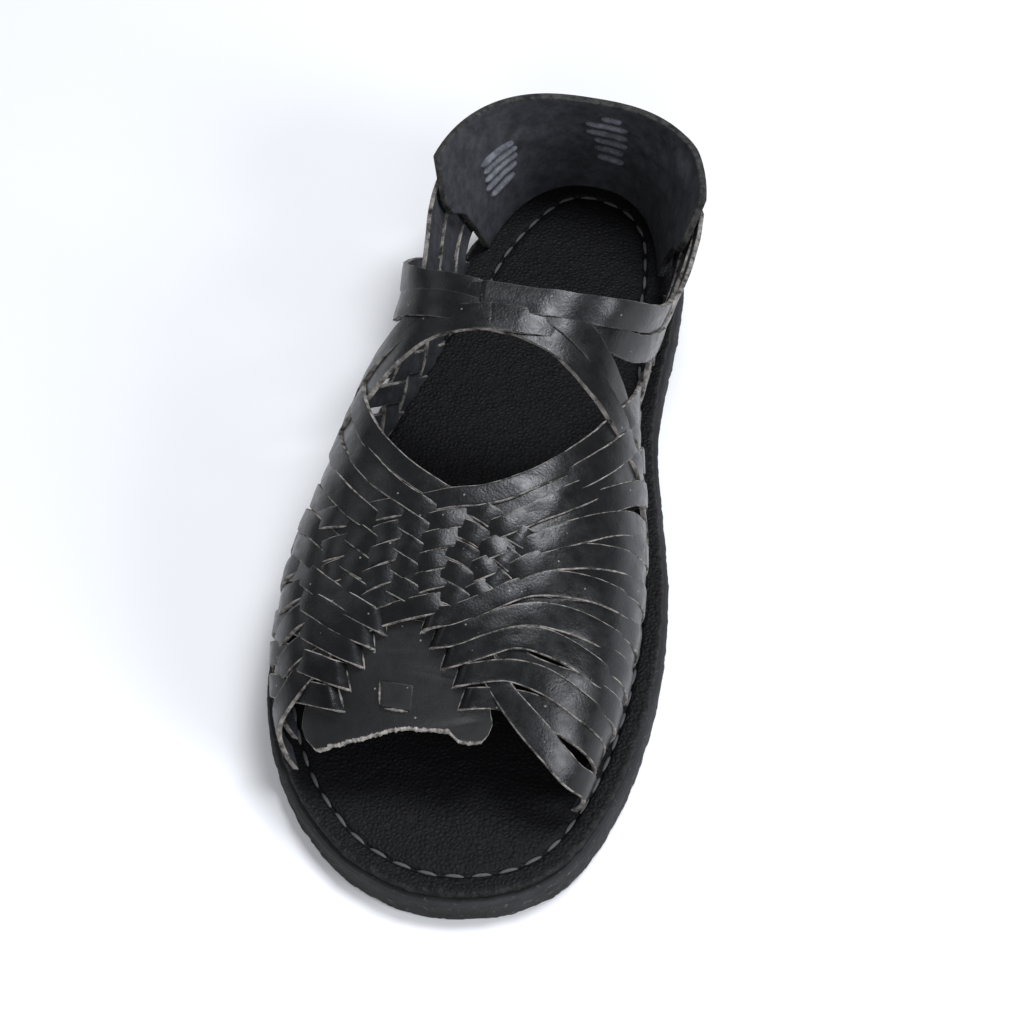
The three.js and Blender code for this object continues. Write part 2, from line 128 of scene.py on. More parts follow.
outline = [
    {"along": 0, "medial": 0.05, "lateral": -0.05},
    {"along": 0.019, "medial": 0.252, "lateral": 0.135},
    {"along": 0.056, "medial": 0.367, "lateral": 0.26},
    {"along": 0.11, "medial": 0.435, "lateral": 0.371},
    {"along": 0.19, "medial": 0.483, "lateral": 0.463},
    {"along": 0.3, "medial": 0.5, "lateral": 0.5},
    {"along": 0.41, "medial": 0.473, "lateral": 0.481},
    {"along": 0.52, "medial": 0.407, "lateral": 0.449},
    {"along": 0.6, "medial": 0.358, "lateral": 0.415},
    {"along": 0.68, "medial": 0.337, "lateral": 0.381},
    {"along": 0.78, "medial": 0.332, "lateral": 0.341},
    {"along": 0.86, "medial": 0.316, "lateral": 0.304},
    {"along": 0.93, "medial": 0.27, "lateral": 0.234},
    {"along": 0.98, "medial": 0.163, "lateral": 0.145},
    {"along": 1, "medial": -0.01, "lateral": 0.01},
]


def smooth_curve(points, per_span, closed=False):
    """A centripetal curve through plane points, with so many steps from each to the next."""
    p = np.array(points, float)
    if closed:
        p = np.vstack([p[-1:], p, p[:2]])
    else:
        p = np.vstack([2 * p[:1] - p[1:2], p, 2 * p[-1:] - p[-2:-1]])
    result = []
    for p0, p1, p2, p3 in zip(p, p[1:], p[2:], p[3:]):
        d0, d1, d2 = (max(np.linalg.norm(b - a), 1e-9) ** 0.5 for a, b in ((p0, p1), (p1, p2), (p2, p3)))
        m1 = ((p1 - p0) / d0 - (p2 - p0) / (d0 + d1) + (p2 - p1) / d1) * d1
        m2 = ((p2 - p1) / d1 - (p3 - p1) / (d1 + d2) + (p3 - p2) / d2) * d1
        t = (np.arange(per_span) / per_span)[:, None]
        result.append(p1 * (2 * t**3 - 3 * t**2 + 1) + m1 * (t**3 - 2 * t**2 + t)
                      + p2 * (3 * t**2 - 2 * t**3) + m2 * (t**3 - t**2))
    if not closed:
        result.append(p[-2:-1])
    return np.vstack(result)


rim = smooth_curve(
    [(row["medial"] * ball_width, (row["along"] - 0.5) * sole_length) for row in outline]
    + [(-row["lateral"] * ball_width, (row["along"] - 0.5) * sole_length) for row in outline[-2:0:-1]],
    60, closed=True)


def even(points, count, closed=False):
    """The same line in even steps."""
    p = np.vstack([points, points[:1]]) if closed else points
    run = np.concatenate([[0], np.cumsum(np.linalg.norm(np.diff(p, axis=0), axis=1))])
    want = np.linspace(0, run[-1], count + 1)
    if closed:
        want = want[:-1]
    return np.stack([np.interp(want, run, p[:, i]) for i in range(p.shape[1])], -1)


waist_end = 45 * mm
waist_to_heel = 35 * mm


def heel_share(y):
    """Rises from 0 to 1 from the waist to the heel, where the seam runs inside the counter."""
    t = np.clip((y - waist_end) / waist_to_heel, 0, 1)
    return t * t * (3 - 2 * t)


# Waves a metre in a line cut by hand: the slow waver of the knife, and the burrs on it
knife_waver = 260
burrs = 900


def ring(bm, count, inset, z, wobble=0.0, seed=0.0, heel_inset=0.0):
    """A loop of vertices and edges that follows the outline, set in by a distance."""
    p = even(rim, count, closed=True)
    tangent = np.roll(p, -1, 0) - np.roll(p, 1, 0)
    tangent /= np.linalg.norm(tangent, axis=1)[:, None]
    loop = []
    for (x, y), (tx, ty) in zip(p, tangent):
        rough = noise.noise(Vector((x * knife_waver, y * knife_waver, seed)))
        rough += 0.5 * noise.noise(Vector((x * burrs, y * burrs, seed)))
        out = wobble * rough - inset - heel_inset * heel_share(y)
        loop.append(bm.verts.new((x + ty * out, y - tx * out, z)))
    return loop, [bm.edges.new((loop[i - 1], loop[i])) for i in range(count)]


def new_piece(name, bm, *materials):
    """Makes a mesh object from a bmesh, smooth, at the origin."""
    mesh = bpy.data.meshes.new(name)
    bm.to_mesh(mesh)
    bm.free()
    piece = bpy.data.objects.new(name, mesh)
    bpy.context.scene.collection.objects.link(piece)
    for material in materials:
        mesh.materials.append(material)
    for face in mesh.polygons:
        face.use_smooth = True
    return piece


def stack(bm, rings, walls=()):
    """Joins loops one to the next, and closes the first and the last with a face."""
    for i, ((low, low_edges), (high, high_edges)) in enumerate(zip(rings, rings[1:])):
        for face in bmesh.ops.bridge_loops(bm, edges=low_edges + high_edges)["faces"]:
            face.material_index = 1 if i in walls else 0
    bm.faces.new(rings[0][0])
    bm.faces.new(rings[-1][0])
    bmesh.ops.recalc_face_normals(bm, faces=bm.faces)


scraped_spot = (0.006, 0.088, 0.0)


def rubber_material(name, dark, light, grain_size, bump_depth, dust):
    """Black rubber with carbon filler, dull and dusty, chalky where the heel has scraped."""
    material, tree, shader, place = new_material(name)
    grain = add_node(tree, "ShaderNodeTexNoise", Vector=place, Scale=0.6 / grain_size, Detail=5,
                     Roughness=0.65)
    patches = add_node(tree, "ShaderNodeTexNoise", Vector=place, Scale=38, Detail=4)
    tint = add_node(tree, "ShaderNodeValToRGB", Fac=patches.outputs["Fac"])
    tint.color_ramp.elements[0].position = 0.3
    tint.color_ramp.elements[0].color = linear(dark)
    tint.color_ramp.elements[1].position = 0.72
    tint.color_ramp.elements[1].color = linear(light)
    # Dust sits on the high grain
    speck = add_node(tree, "ShaderNodeMapRange", Value=grain.outputs["Fac"])
    speck.inputs["From Min"].default_value = 0.6
    speck.inputs["From Max"].default_value = 0.72
    speck.inputs["To Max"].default_value = dust
    dusty = add_node(tree, "ShaderNodeMix", {"data_type": "RGBA"}, i0=speck.outputs["Result"],
                     i6=tint.outputs["Color"], i7=linear("#8c8c8a"))
    # Chalky scrapes lie round one spot under the heel
    away = add_node(tree, "ShaderNodeVectorMath", {"operation": "DISTANCE"}, i0=place, i1=scraped_spot)
    near = add_node(tree, "ShaderNodeMapRange", Value=away.outputs["Value"])
    near.inputs["From Min"].default_value = 0.024
    near.inputs["From Max"].default_value = 0.004
    scrape = add_node(tree, "ShaderNodeTexNoise", Vector=place, Scale=170, Detail=6, Roughness=0.7)
    patch = add_node(tree, "ShaderNodeMath", {"operation": "MULTIPLY"}, i0=near.outputs["Result"],
                     i1=scrape.outputs["Fac"])
    chalk = add_node(tree, "ShaderNodeMapRange", Value=patch.outputs["Value"])
    chalk.inputs["From Min"].default_value = 0.3
    chalk.inputs["From Max"].default_value = 0.55
    chalk.inputs["To Max"].default_value = 0.75
    scuffed = add_node(tree, "ShaderNodeMix", {"data_type": "RGBA"}, i0=chalk.outputs["Result"],
                       i6=dusty.outputs[2], i7=linear("#c4c4c0"))
    bump = add_node(tree, "ShaderNodeBump", Height=grain.outputs["Fac"], Strength=0.7, Distance=bump_depth)
    tree.links.new(scuffed.outputs[2], shader.inputs["Base Color"])
    tree.links.new(bump.outputs["Normal"], shader.inputs["Normal"])
    shader.inputs["Roughness"].default_value = 0.8
    shader.inputs["Specular IOR Level"].default_value = 0.35
    return material


rubber_face = rubber_material("moulded_rubber", "#1c1c1e", "#343436", 0.9 * mm, 0.5 * mm, 0.2)
rubber_cut = rubber_material("knife_cut_rubber", "#161617", "#2b2b2c", 1.3 * mm, 1.3 * mm, 0.35)

# Inset, height and roughness in mm of each line round the slab: the channel of the stitches on
# the underside, the burred lower edge, the cut wall and the upper edge
wall = [(8.0, 0.0, 0.1), (7.5, 0.9, 0.1), (6.9, 0.9, 0.1), (6.4, 0, 0.1),
        (0.9, 0, 0.5), (0.15, 0.7, 0.42), (0, 2.2, 0.36), (0.15, 3.6, 0.4),
        (0.1, 5, 0.34), (0.2, 6.6, 0.4), (0.1, 8.3, 0.36), (0.8, 9, 0.36)]
cut_walls = range(4, 10)
outsole_steps = 620

bm = bmesh.new()
stack(bm, [ring(bm, outsole_steps, inset * mm, z * mm, rough * mm, z * 0.35) for inset, z, rough in wall],
      cut_walls)
outsole = new_piece("rubber_outsole", bm, rubber_face, rubber_cut)

grooves = [
    {"side": -0.33, "start": 0.16, "end": 0.5, "phase": 0.2},
    {"side": -0.15, "start": 0.09, "end": 0.93, "phase": 0},
    {"side": 0.03, "start": 0.07, "end": 0.95, "phase": 0.1},
    {"side": 0.2, "start": 0.12, "end": 0.9, "phase": 0.05},
    {"side": 0.36, "start": 0.16, "end": 0.4, "phase": 0},
]
groove_depth = 1.6 * mm
groove_width = 2.4 * mm
wave_length = 54 * mm
wave_height = 6 * mm
groove_step = 1.2 * mm
tears = 420  # waves a metre in a groove's ragged walls
end_taper = 12  # a groove narrows over a twelfth of its length at each end

# Each groove's cutter starts as a cube of one metre, and the finished ones lie well inside it, so
# the new vertices are those at half a metre to each side
bm = bmesh.new()
for row in grooves:
    count = int((row["end"] - row["start"]) * sole_length / groove_step)
    bmesh.ops.create_cube(bm, size=1)
    lengthwise = [edge for edge in bm.edges if abs(edge.verts[0].co.y - edge.verts[1].co.y) > 0.5]
    bmesh.ops.subdivide_edges(bm, edges=lengthwise, cuts=count - 1, use_grid_fill=True)
    for vert in [v for v in bm.verts if abs(v.co.x) == 0.5]:
        share = vert.co.y + 0.5
        y = (row["start"] - 0.5 + share * (row["end"] - row["start"])) * sole_length
        wave = math.sin(2 * math.pi * (y / wave_length + row["phase"]))
        torn = noise.noise(Vector((y * tears, vert.co.x * 9, row["side"] * 50)))
        taper = min(1, end_taper * share, end_taper * (1 - share)) ** 0.5
        half = groove_width / 2 * taper * (1.1 - 0.35 * (vert.co.z + 0.5)) * (1 + 0.7 * torn)
        x = row["side"] * ball_width + wave_height * wave + math.copysign(half, vert.co.x)
        vert.co = (x, y, -groove_depth + (vert.co.z + 0.5) * 2 * groove_depth * max(0.55, taper))
cutter = new_piece("groove_cutter", bm)
carve = outsole.modifiers.new("grooves", "BOOLEAN")
carve.operation = "DIFFERENCE"
carve.solver = "EXACT"
carve.object = cutter
bpy.context.view_layer.objects.active = outsole
bpy.ops.object.modifier_apply(modifier="grooves")
bpy.data.objects.remove(cutter)
outsole.data.set_sharp_from_angle(angle=math.radians(40))
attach(outsole, "root")
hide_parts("outsole")


# Insole
# A sheet of black leather stitched to the rubber. Its grain is pebbled and dull, its cut rim is
# raised and scuffed paler, and the row of stitches has pulled a groove into it.
insole_top = 11.7 * mm
stitch_inset = 7.6 * mm
heel_seam_inset = 5 * mm

insole_leather, tree, shader, place = new_material("pebbled_leather")
# Vegetable-tanned leather, printed with a fine pebble, matte from wear and pale along the rim
pebbles = add_node(tree, "ShaderNodeTexVoronoi", {"feature": "DISTANCE_TO_EDGE"}, Vector=place, Scale=720)
creases = add_node(tree, "ShaderNodeTexNoise", Vector=place, Scale=240, Detail=5)
rim_wear = add_node(tree, "ShaderNodeAttribute", {"attribute_name": "rim_wear"})
scuff = add_node(tree, "ShaderNodeTexNoise", Vector=place, Scale=420, Detail=6, Roughness=0.7)
wear = add_node(tree, "ShaderNodeMath", {"operation": "MULTIPLY"}, i0=rim_wear.outputs["Fac"],
                i1=scuff.outputs["Fac"])
tint = add_node(tree, "ShaderNodeValToRGB", Fac=wear.outputs["Value"])
tint.color_ramp.elements[0].position = 0.45
tint.color_ramp.elements[0].color = linear("#08080a")
tint.color_ramp.elements[1].position = 0.8
tint.color_ramp.elements[1].color = linear("#2f2f30")
height = add_node(tree, "ShaderNodeMath", {"operation": "ADD"}, i0=pebbles.outputs["Distance"],
                  i1=creases.outputs["Fac"])
bump = add_node(tree, "ShaderNodeBump", Height=height.outputs["Value"], Strength=0.8, Distance=0.6 * mm)
tree.links.new(tint.outputs["Color"], shader.inputs["Base Color"])
tree.links.new(bump.outputs["Normal"], shader.inputs["Normal"])
shader.inputs["Roughness"].default_value = 0.62
shader.inputs["Specular IOR Level"].default_value = 0.2

# Inset and height in mm, and wear, of each line round the sheet: its foot, the scuffed cut rim,
# the raised border, and the groove of the stitches. The two widths are insets in mm as well.
section = [
    (3.0, 9.05, 0.5), (1.9, 9.25, 0.8), (1.75, 10.3, 1.0), (1.85, 11.35, 1.1), (2.15, 11.72, 1.15),
    (2.7, 11.85, 1.0), (3.6, 11.8, 0.8), (5.4, 11.7, 0.45), (6.6, 11.62, 0.3), (7.0, 11.35, 0.2),
    (7.3, 10.95, 0.1), (7.6, 10.85, 0.1), (7.9, 10.95, 0.1), (8.2, 11.35, 0.2), (8.6, 11.6, 0.22),
    (10.4, 11.68, 0.1), (13, 11.7, 0.0),
]
insole_steps = 560
rim_width = 4
border_width = 5

bm = bmesh.new()
worn = bm.verts.layers.float.new("rim_wear")
rings = []
for inset, z, wear_share in section:
    rough = 0.3 * mm if inset < rim_width else 0.12 * mm
    loop = ring(bm, insole_steps, inset * mm, z * mm, rough, seed=3.0,
                heel_inset=heel_seam_inset if inset > border_width else 0)
    for vert in loop[0]:
        vert[worn] = wear_share
    rings.append(loop)
stack(bm, rings)
insole = new_piece("leather_insole", bm, insole_leather)
insole.data.set_sharp_from_angle(angle=math.radians(32))
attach(insole, "root")
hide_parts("insole")


# Stitches
# One lockstitch of waxed thread goes round the sole: dark grey on the insole, where it lies in
# its groove, and white on the underside.
def thread_material(name, colour):
    """Twisted waxed thread: dull, with a fine twist across each stitch."""
    material, tree, shader, place = new_material(name)
    twist = add_node(tree, "ShaderNodeTexNoise", Vector=place, Scale=1500, Detail=2)
    bump = add_node(tree, "ShaderNodeBump", Height=twist.outputs["Fac"], Strength=0.6, Distance=0.0003)
    tree.links.new(bump.outputs["Normal"], shader.inputs["Normal"])
    shader.inputs["Base Color"].default_value = linear(colour)
    shader.inputs["Roughness"].default_value = 0.75
    return material


def stitch_row(name, material, inset, heel_inset, z, up, pitch, length, thickness):
    """A row of stitches along the outline: each is a small rounded bar with sunk ends."""
    line = even(rim, 2000, closed=True)
    tangent = np.roll(line, -1, 0) - np.roll(line, 1, 0)
    tangent /= np.linalg.norm(tangent, axis=1)[:, None]
    inwards = np.stack([-tangent[:, 1], tangent[:, 0]], -1)
    line = line + inwards * (inset + heel_inset * heel_share(line[:, 1]))[:, None]
    count = round(np.linalg.norm(np.roll(line, -1, 0) - line, axis=1).sum() / pitch)
    spots = even(line, count, closed=True)
    bm = bmesh.new()
    for i, spot in enumerate(spots):
        after = spots[(i + 1) % count] - spots[i - 1]
        turn = math.atan2(after[1], after[0]) + random.uniform(-0.05, 0.05)
        bar = bmesh.ops.create_uvsphere(bm, u_segments=8, v_segments=6, radius=0.5)["verts"]
        for vert in bar:
            u = vert.co.z * length
            sunk = thickness * (abs(vert.co.z) * 2) ** 4
            vert.co = (u * math.cos(turn) - vert.co.x * thickness * math.sin(turn) + spot[0],
                       u * math.sin(turn) + vert.co.x * thickness * math.cos(turn) + spot[1],
                       z + vert.co.y * thickness * 0.8 - sunk * up * 0.6)
    bmesh.ops.recalc_face_normals(bm, faces=bm.faces)
    return new_piece(name, bm, material)


stitch_pitch = 7.3 * mm

random.seed(4)
top_stitches = stitch_row("insole_stitches", thread_material("grey_thread", "#4b4b4c"),
                          stitch_inset, heel_seam_inset, z=insole_top - 0.3 * mm, up=1,
                          pitch=stitch_pitch, length=5.6 * mm, thickness=1.1 * mm)
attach(top_stitches, "root")
sole_stitches = stitch_row("sole_stitches", thread_material("white_thread", "#e9e8e4"),
                           7.2 * mm, 0, z=0.5 * mm, up=-1,
                           pitch=stitch_pitch, length=5.0 * mm, thickness=0.95 * mm)
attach(sole_stitches, "root")


# Last
# The form that the leather was pulled over: every strip, the toe plate and the counter lie on
# it. Along is a share of the length from the toe, and across runs from the outer side of the
# insole (-1) over the foot to the inner side (1).
instep_height = 63 * mm
tuck = math.radians(25.8)
crest = [(0.1, 0.33), (0.125, 0.39), (0.17, 0.5), (0.225, 0.62), (0.3, 0.73), (0.375, 0.82),
         (0.45, 0.87), (0.525, 0.94), (0.6, 1), (0.7, 1.11), (0.8, 1.2), (0.95, 1.2)]
heel_front = 205 * mm
inner_margin = 9 * mm
outer_margin = 4.5 * mm
heel_form_from = 0.52
heel_form_over = 0.245

half = len(rim) // 2
rim_inner = rim[:half + 1][rim[:half + 1, 0] > 0]
rim_outer = rim[half:][rim[half:, 0] < 0][::-1]


def heel_shape(z):
    """How far back and how wide the last is at a height, and how square its plan."""
    k = np.clip((z - insole_top) / (45 * mm), 0, 1.3) ** 1.5
    return (262 - 7.5 * k) * mm, (31 + 10 * k) * mm, 2.3 + 0.3 * k


def last_point(along, across):
    """Places on the last, as an array of points."""
    along, across = np.broadcast_arrays(np.asarray(along, float), np.asarray(across, float))
    angle = math.pi / 2 - across * (math.pi / 2 + tuck)
    low = math.sin(-tuck)
    height = instep_height * np.interp(along, [a for a, h in crest], [h for a, h in crest])
    z = insole_top + height * (np.sin(angle) - low) / (1 - low)
    y = (along - 0.5) * sole_length
    inner = np.interp(y, rim_inner[:, 1], rim_inner[:, 0]) - inner_margin
    outer = np.interp(y, rim_outer[:, 1], rim_outer[:, 0]) + outer_margin
    reach = np.sign(np.cos(angle)) * np.abs(np.cos(angle)) ** 0.8
    fore = (inner + outer) / 2 + (inner - outer) / 2 * reach
    back, wide, power = heel_shape(z)
    t = np.clip((along * sole_length - heel_front) / (back - heel_front), 0, 1)
    heel = -0.5 * mm + np.where(across >= 0, 1, -1) * wide * (1 - t**power) ** (1 / power)
    blend = np.clip((along - heel_form_from) / heel_form_over, 0, 1)
    blend = blend * blend * (3 - 2 * blend)
    return np.stack([fore * (1 - blend) + heel * blend, y, z], -1)


def last_normal(along, across):
    """The directions straight out of the last."""
    by_along = last_point(along + 0.004, across) - last_point(along - 0.004, across)
    by_across = last_point(along, across + 0.012) - last_point(along, across - 0.012)
    normal = np.cross(by_across, by_along)
    return normal / np.linalg.norm(normal, axis=-1)[..., None]


# Leather of the upper
# Smooth black cowhide with a soft polish: fine creases catch a cool light, and the cut edges
# show the raw grey-brown middle of the hide.
strip_thickness = 1.4 * mm


def polished_leather(name, dark, light, roughness, crease_scale):
    """Chrome-tanned cowhide, dyed black and lightly waxed, creased finely by bending."""
    material, tree, shader, place = new_material(name)
    fine = add_node(tree, "ShaderNodeTexNoise", Vector=place, Scale=crease_scale, Detail=6, Roughness=0.62)
    pores = add_node(tree, "ShaderNodeTexVoronoi", Vector=place, Scale=1400)
    cloud = add_node(tree, "ShaderNodeTexNoise", Vector=place, Scale=60, Detail=3)
    tint = add_node(tree, "ShaderNodeValToRGB", Fac=cloud.outputs["Fac"])
    tint.color_ramp.elements[0].position = 0.3
    tint.color_ramp.elements[0].color = linear(dark)
    tint.color_ramp.elements[1].position = 0.75
    tint.color_ramp.elements[1].color = linear(light)
    # Rubbed paler along the cut edges
    edge_wear = add_node(tree, "ShaderNodeAttribute", {"attribute_name": "edge_wear"})
    rub = add_node(tree, "ShaderNodeTexNoise", Vector=place, Scale=330, Detail=4)
    rubbed = add_node(tree, "ShaderNodeMath", {"operation": "MULTIPLY_ADD"}, i0=rub.outputs["Fac"], i1=0.7,
                      i2=edge_wear.outputs["Fac"])
    worn_share = add_node(tree, "ShaderNodeMapRange", Value=rubbed.outputs["Value"])
    worn_share.inputs["From Min"].default_value = 1.2
    worn_share.inputs["From Max"].default_value = 1.5
    worn_share.inputs["To Max"].default_value = 0.7
    worn_tint = add_node(tree, "ShaderNodeMix", {"data_type": "RGBA"}, i0=worn_share.outputs["Result"],
                         i6=tint.outputs["Color"], i7=linear("#4c4b4a"))
    # A few specks of dust, about one in 5 mm
    dust = add_node(tree, "ShaderNodeTexVoronoi", Vector=place, Scale=210)
    dust_share = add_node(tree, "ShaderNodeMapRange", Value=dust.outputs["Distance"])
    dust_share.inputs["From Min"].default_value = 0.07
    dust_share.inputs["From Max"].default_value = 0.045
    dust_share.inputs["To Max"].default_value = 0.55
    dusted = add_node(tree, "ShaderNodeMix", {"data_type": "RGBA"}, i0=dust_share.outputs["Result"],
                      i6=worn_tint.outputs[2], i7=linear("#9a9a98"))
    # The creases are duller than the polished leather between them
    gloss = add_node(tree, "ShaderNodeMapRange", Value=fine.outputs["Fac"])
    gloss.inputs["From Min"].default_value = 0.3
    gloss.inputs["From Max"].default_value = 0.7
    gloss.inputs["To Min"].default_value = roughness - 0.08
    gloss.inputs["To Max"].default_value = roughness + 0.1
    height = add_node(tree, "ShaderNodeMath", {"operation": "MULTIPLY_ADD"}, i0=pores.outputs["Distance"],
                      i1=0.25, i2=fine.outputs["Fac"])
    bump = add_node(tree, "ShaderNodeBump", Height=height.outputs["Value"], Strength=0.3, Distance=0.35 * mm)
    tree.links.new(dusted.outputs[2], shader.inputs["Base Color"])
    tree.links.new(gloss.outputs["Result"], shader.inputs["Roughness"])
    tree.links.new(bump.outputs["Normal"], shader.inputs["Normal"])
    shader.inputs["Specular IOR Level"].default_value = 0.34
    return material


def raw_leather(name, dark, light, patch_size):
    """The cut or inner side of the hide: dull, fibrous and unevenly dyed."""
    material, tree, shader, place = new_material(name)
    fibres = add_node(tree, "ShaderNodeTexNoise", Vector=place, Scale=0.7 / patch_size, Detail=6,
                      Roughness=0.7)
    tint = add_node(tree, "ShaderNodeValToRGB", Fac=fibres.outputs["Fac"])
    tint.color_ramp.elements[0].position = 0.38
    tint.color_ramp.elements[0].color = linear(dark)
    tint.color_ramp.elements[1].position = 0.66
    tint.color_ramp.elements[1].color = linear(light)
    bump = add_node(tree, "ShaderNodeBump", Height=fibres.outputs["Fac"], Strength=0.6, Distance=0.5 * mm)
    tree.links.new(tint.outputs["Color"], shader.inputs["Base Color"])
    tree.links.new(bump.outputs["Normal"], shader.inputs["Normal"])
    shader.inputs["Roughness"].default_value = 0.88
    shader.inputs["Specular IOR Level"].default_value = 0.3
    return material


strip_leather = polished_leather("polished_black_leather", "#0c0c0d", "#161719", 0.31, 300)
cut_edge = raw_leather("cut_edge_leather", "#23221f", "#a19c95", 2.2 * mm)
flesh_side = raw_leather("flesh_side_leather", "#2d2e31", "#44454a", 3.4 * mm)
# Flesh side for the short ridges inside the counter, paler and bluer than the counter's own flesh side: a
# painted highlight where light catches the ridges
ridge_flesh_with_painted_highlight = raw_leather("ridge_flesh_leather_painted_highlight", "#484a4f", "#75777d", 2.4 * mm)
dyed_edge = raw_leather("dyed_edge_leather", "#19191a", "#454442", 1.6 * mm)


def finish_sheet(piece, thickness, edge_round):
    """Gives a sheet its wall and softly rounded, paler cut edges."""
    wall = piece.modifiers.new("thickness", "SOLIDIFY")
    wall.thickness = thickness
    wall.offset = 0
    wall.material_offset = 2
    wall.material_offset_rim = 1
    edges = piece.modifiers.new("cut_edges", "BEVEL")
    edges.width = edge_round
    edges.segments = 2
    edges.limit_method = "ANGLE"
    edges.angle_limit = math.radians(50)
    edges.material = 1
    shade = piece.modifiers.new("flat_shading", "WEIGHTED_NORMAL")
    shade.weight = 60


# Upper: the woven strips
# Flat strips cut from the hide, woven over and under: two sets cross over the toes and the vamp,
# four long ones make the band over the instep, and short ones finish the quarters in the counter.
full_reach = 1.06
weave_lift = 0.6 * mm
crown_rise = 0.1 * mm
uneven_rise = 0.28 * mm
tip_lean = 0.2
tip_dive = 3.4 * mm
tip_dive_over = 2.6 * mm
proud_outer = -0.42
proud_inner = 0.17
strip_step = 1.6 * mm
last_vamp_order = {"R": 11, "L": 10}
# Widths in mm: at the middle of the weave, how much wider towards each side, and in the band
middle_width = 5.9
inner_gain = 1.4
outer_gain = 0.8
band_width = 8.2
lowest_gain = 0.2

# Where each strip lies, in shares of the length: on the outer side at its foot, halfway up and
# near the middle, then at the middle, then the same down the inner side. A tip is how far across
# the foot a strip ends in the toe plate.
long_strips = [
    {"set": "R", "order": 0, "outer": (0.205, 0.161, 0.148), "crown": 0.135, "tip": -0.265},
    {"set": "R", "order": 1, "outer": (0.24, 0.192, 0.169), "crown": 0.15, "tip": -0.23},
    {"set": "R", "order": 2, "outer": (0.27, 0.226, 0.195), "crown": 0.169, "tip": -0.185},
    {"set": "R", "order": 3, "outer": (0.3, 0.253, 0.216), "crown": 0.187, "tip": -0.155},
    {"set": "R", "order": 4, "outer": (0.335, 0.279, 0.234), "crown": 0.204, "tip": -0.12},
    {"set": "R", "order": 5, "outer": (0.375, 0.303, 0.25), "crown": 0.215, "tip": -0.12},
    {"set": "R", "order": 6, "outer": (0.415, 0.33, 0.276), "crown": 0.235, "inner": (0.175, 0.136, 0.143)},
    {"set": "R", "order": 7, "outer": (0.455, 0.357, 0.302), "crown": 0.254, "inner": (0.21, 0.211, 0.222)},
    {"set": "R", "order": 8, "outer": (0.51, 0.385, 0.325), "crown": 0.275, "inner": (0.236, 0.248, 0.266)},
    {"set": "R", "order": 9, "outer": (0.57, 0.414, 0.347), "crown": 0.297, "inner": (0.264, 0.288, 0.315)},
    {"set": "R", "order": 10, "outer": (0.625, 0.447, 0.37), "crown": 0.32, "inner": (0.292, 0.33, 0.37)},
    {"set": "R", "order": 11, "outer": (0.675, 0.483, 0.396), "crown": 0.345, "inner": (0.322, 0.374, 0.43)},
    {"set": "L", "order": 0, "crown": 0.16, "inner": (0.173, 0.171, 0.172), "tip": 0.05},
    {"set": "L", "order": 1, "crown": 0.178, "inner": (0.199, 0.193, 0.197), "tip": 0.03},
    {"set": "L", "order": 2, "crown": 0.195, "inner": (0.229, 0.23, 0.24), "tip": 0.004},
    {"set": "L", "order": 3, "crown": 0.214, "inner": (0.252, 0.267, 0.288), "tip": -0.015},
    {"set": "L", "order": 4, "crown": 0.232, "inner": (0.281, 0.309, 0.34), "tip": -0.035},
    {"set": "L", "order": 5, "outer": (0.128, 0.162, 0.209), "crown": 0.246, "inner": (0.304, 0.351, 0.395)},
    {"set": "L", "order": 6, "outer": (0.163, 0.191, 0.223), "crown": 0.272, "inner": (0.324, 0.394, 0.46)},
    {"set": "L", "order": 7, "outer": (0.202, 0.224, 0.249), "crown": 0.291, "inner": (0.342, 0.428, 0.525)},
    {"set": "L", "order": 8, "outer": (0.25, 0.256, 0.273), "crown": 0.311, "inner": (0.361, 0.457, 0.585)},
    {"set": "L", "order": 9, "outer": (0.3, 0.291, 0.296), "crown": 0.331, "inner": (0.38, 0.486, 0.64)},
    {"set": "L", "order": 10, "outer": (0.352, 0.332, 0.326), "crown": 0.353, "inner": (0.402, 0.516, 0.69)},
    {"set": "R", "order": 12, "outer": (0.76, 0.605, 0.574), "crown": 0.556, "inner": (0.543, 0.49, 0.43)},
    {"set": "R", "order": 13, "outer": (0.8, 0.645, 0.598), "crown": 0.58, "inner": (0.567, 0.53, 0.46)},
    {"set": "L", "order": 11, "outer": (0.43, 0.49, 0.538), "crown": 0.556, "inner": (0.569, 0.605, 0.76)},
    {"set": "L", "order": 12, "outer": (0.46, 0.53, 0.562), "crown": 0.58, "inner": (0.593, 0.645, 0.8)},
]
quarter_strips = [
    {"foot": 0.555, "slit": 0.835, "height": 0.66},
    {"foot": 0.6, "slit": 0.845, "height": 0.705},
    {"foot": 0.645, "slit": 0.852, "height": 0.757},
    {"foot": 0.69, "slit": 0.858, "height": 0.81},
    {"foot": 0.735, "slit": 0.865, "height": 0.87},
]


def long_path(row):
    """The way of a long strip over the last, from its outer end to its inner end."""
    knots = [(row["crown"], 0)]
    if "outer" not in row:
        knots = [(row["crown"] - (row["inner"][0] - row["crown"]) * 0.5, -0.12)] + knots
    if "outer" in row:
        foot, side, near = row["outer"]
        knots = [(foot * 1.24 - side * 0.24, -1.12), (foot, -1), ((side + foot) / 2, -0.75), (side, -0.5),
                 (near, -0.25)] + knots
    if "inner" in row:
        near, side, foot = row["inner"]
        knots = knots + [(near, 0.18), (side, 0.5), ((side + foot) / 2, 0.75), (foot, 1),
                         (foot * 1.24 - side * 0.24, 1.12)]
    path = smooth_curve(knots, 24)
    low = row["tip"] if "outer" not in row else -full_reach
    high = row["tip"] if "inner" not in row else full_reach
    return path[(path[:, 1] >= low) & (path[:, 1] <= high)]


